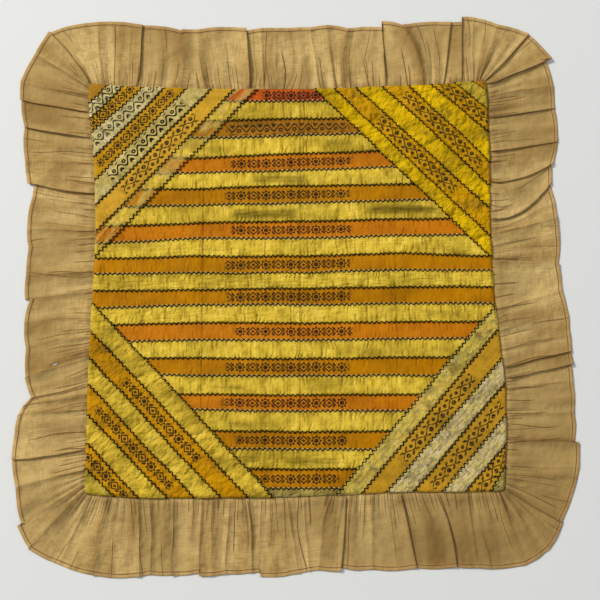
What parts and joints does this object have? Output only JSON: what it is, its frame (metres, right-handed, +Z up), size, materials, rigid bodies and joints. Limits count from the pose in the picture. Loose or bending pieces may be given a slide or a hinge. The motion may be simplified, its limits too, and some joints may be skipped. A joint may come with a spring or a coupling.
{
  "type": "patchwork cushion cover",
  "caption": "Empty square patchwork cushion cover lying flat, pieced ribbon front, plain back and a wide gathered and hemmed ruffle all round.",
  "frame": {"origin": "on the surface the cover lies on, under the middle of its outline", "axes": "+Z up out of the patchwork front, +Y towards the top edge of the cover as seen in the picture, +X to its right"},
  "size_m": [0.5568, 0.5602, 0.008],
  "materials": {
    "back_cotton": "matte plain-weave cotton",
    "pieced_silk": "soft satin silk ribbon with stitching",
    "ruffle_cotton": "matte plain-weave cotton, aged tan"
  },
  "bodies": {
    "root": {"back_panel": "back_cotton", "front_panel": "pieced_silk", "ruffle": "ruffle_cotton"}
  },
  "joints": []
}
